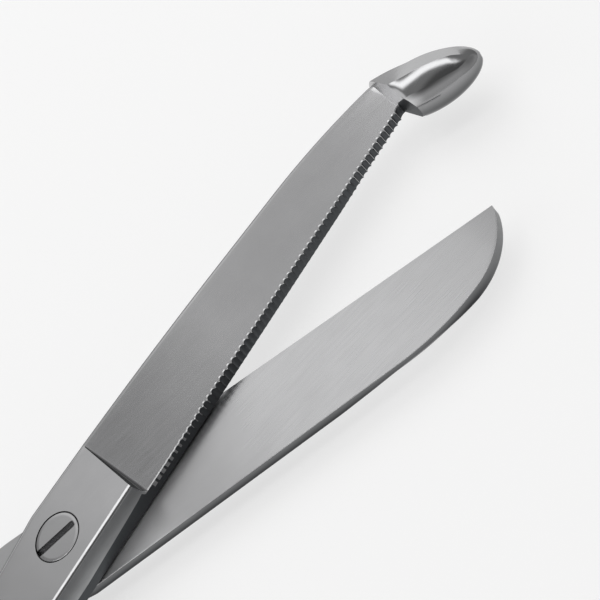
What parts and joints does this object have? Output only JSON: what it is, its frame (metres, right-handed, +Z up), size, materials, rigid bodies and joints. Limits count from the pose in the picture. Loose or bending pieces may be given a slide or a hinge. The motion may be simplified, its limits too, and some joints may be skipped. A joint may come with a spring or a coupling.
{
  "type": "bandage scissors",
  "caption": "Heavy angled bandage shears: a grooved blade with a blunt probe tip over a plain blade, on a slotted pivot screw, with oval finger rings.",
  "frame": {"origin": "on the pivot axis, at the screw's lower end, in the plane on which the shears lie", "axes": "+X along the middle line of the opened blades, from the pivot to the tips; +Z up along the pivot axis, from the plain half to the serrated half"},
  "size_m": [0.222, 0.1086, 0.0123],
  "materials": {
    "satin_steel": "satin",
    "ground_steel": "fine ground",
    "bright_steel": "satin"
  },
  "bodies": {
    "plain": {"plain_half": "ground_steel", "pivot_screw": "bright_steel"},
    "serrated": {"serrated_half": "satin_steel"}
  },
  "joints": [
    {"name": "blade_pivot", "type": "hinge", "parent": "plain", "child": "serrated", "pos_m": [0, 0, 0.00545], "axis": [0, 0, 1], "range_deg": [-21, 35]}
  ]
}
